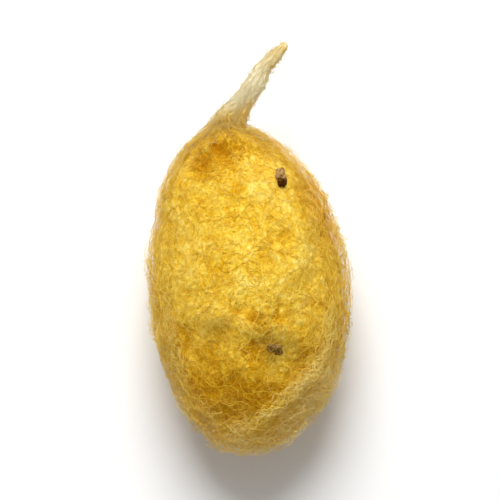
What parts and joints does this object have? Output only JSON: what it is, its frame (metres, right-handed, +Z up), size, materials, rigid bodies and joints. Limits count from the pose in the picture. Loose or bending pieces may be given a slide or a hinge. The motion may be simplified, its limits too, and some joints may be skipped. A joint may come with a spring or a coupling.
{
  "type": "silk cocoon",
  "caption": "Golden silk cocoon with loose floss and a drawn-out silk tail at one end, lying on its side on a small flat spot.",
  "frame": {"origin": "middle of the small flat spot that the cocoon rests on", "axes": "+Y along the cocoon towards the end with the silk tail, +X to the side that the tail leans to, +Z up from the rest spot"},
  "size_m": [0.0228, 0.0463, 0.021],
  "materials": {
    "silk": "matte felted silk",
    "bark": "matte",
    "dry_leaf": "matte"
  },
  "bodies": {
    "root": {"cocoon": "silk", "bark_fleck": "bark", "leaf_crumb": "dry_leaf"}
  },
  "joints": []
}
